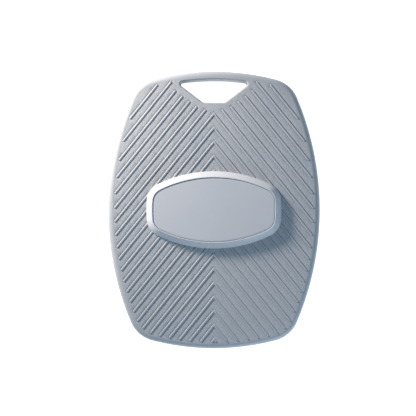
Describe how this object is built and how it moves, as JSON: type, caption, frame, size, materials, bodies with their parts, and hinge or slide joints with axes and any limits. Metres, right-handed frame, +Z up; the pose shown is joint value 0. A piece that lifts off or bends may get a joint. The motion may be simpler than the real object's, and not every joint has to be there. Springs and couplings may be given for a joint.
{
  "type": "kneeling pad",
  "caption": "Ribbed garden kneeling pad with bowed sides, a hand slot through one end and a raised oval badge in the middle.",
  "frame": {"origin": "centre of the underside, on the ground", "axes": "+Z up, +Y along the pad towards the hand slot, +X across the pad"},
  "size_m": [0.306, 0.4, 0.039],
  "materials": {
    "cover": "matt moulded elastomer, finely stippled between the ribs and smoother on the border",
    "comfort_foam": "open-celled soft foam",
    "support_foam": "closed-cell firm foam",
    "base": "matt moulded rubber with tread grooves",
    "adhesive": "clear to honey-coloured contact adhesive film",
    "bezel": "satin moulded plastic",
    "plate": "smooth satin plastic, blank",
    "backing": "plain moulded plastic"
  },
  "bodies": {
    "root": {"top_skin": "cover", "comfort_foam": "comfort_foam", "support_foam": "support_foam", "base_tray": "base", "skin_bond_film": "adhesive", "foam_bond_film": "adhesive", "base_bond_film": "adhesive", "badge_bezel": "bezel", "badge_plate": "plate", "badge_plate_tape": "adhesive", "badge_backing_ring": "backing"}
  },
  "joints": []
}
